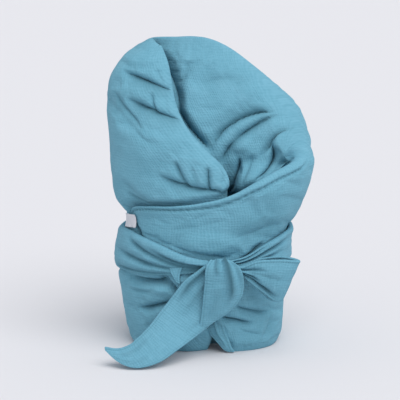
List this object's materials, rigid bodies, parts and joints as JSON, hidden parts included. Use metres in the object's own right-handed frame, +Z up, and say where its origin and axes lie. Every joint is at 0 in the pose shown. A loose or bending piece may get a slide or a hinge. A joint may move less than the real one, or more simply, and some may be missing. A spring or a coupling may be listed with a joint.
{
  "type": "folded swaddle wrap",
  "caption": "Padded swaddle wrap of crinkled cotton gauze, closed round an empty inside with a raised hood, standing on its foot and tied at the waist with a sash in a half bow.",
  "frame": {"origin": "on the floor, under the middle of the wrapped body, in the flat underside of the foot", "axes": "+Z up, the front with the bow faces -Y, +X to the right as seen from the front"},
  "size_m": [0.3802, 0.3248, 0.5619],
  "materials": {
    "wrap_gauze": "crinkled double gauze, matt",
    "sash_gauze": "crinkled double gauze, matt",
    "label_tape": "smooth woven tape, left blank"
  },
  "bodies": {
    "root": {"wrap": "wrap_gauze", "sash": "sash_gauze", "label": "label_tape"}
  },
  "joints": []
}
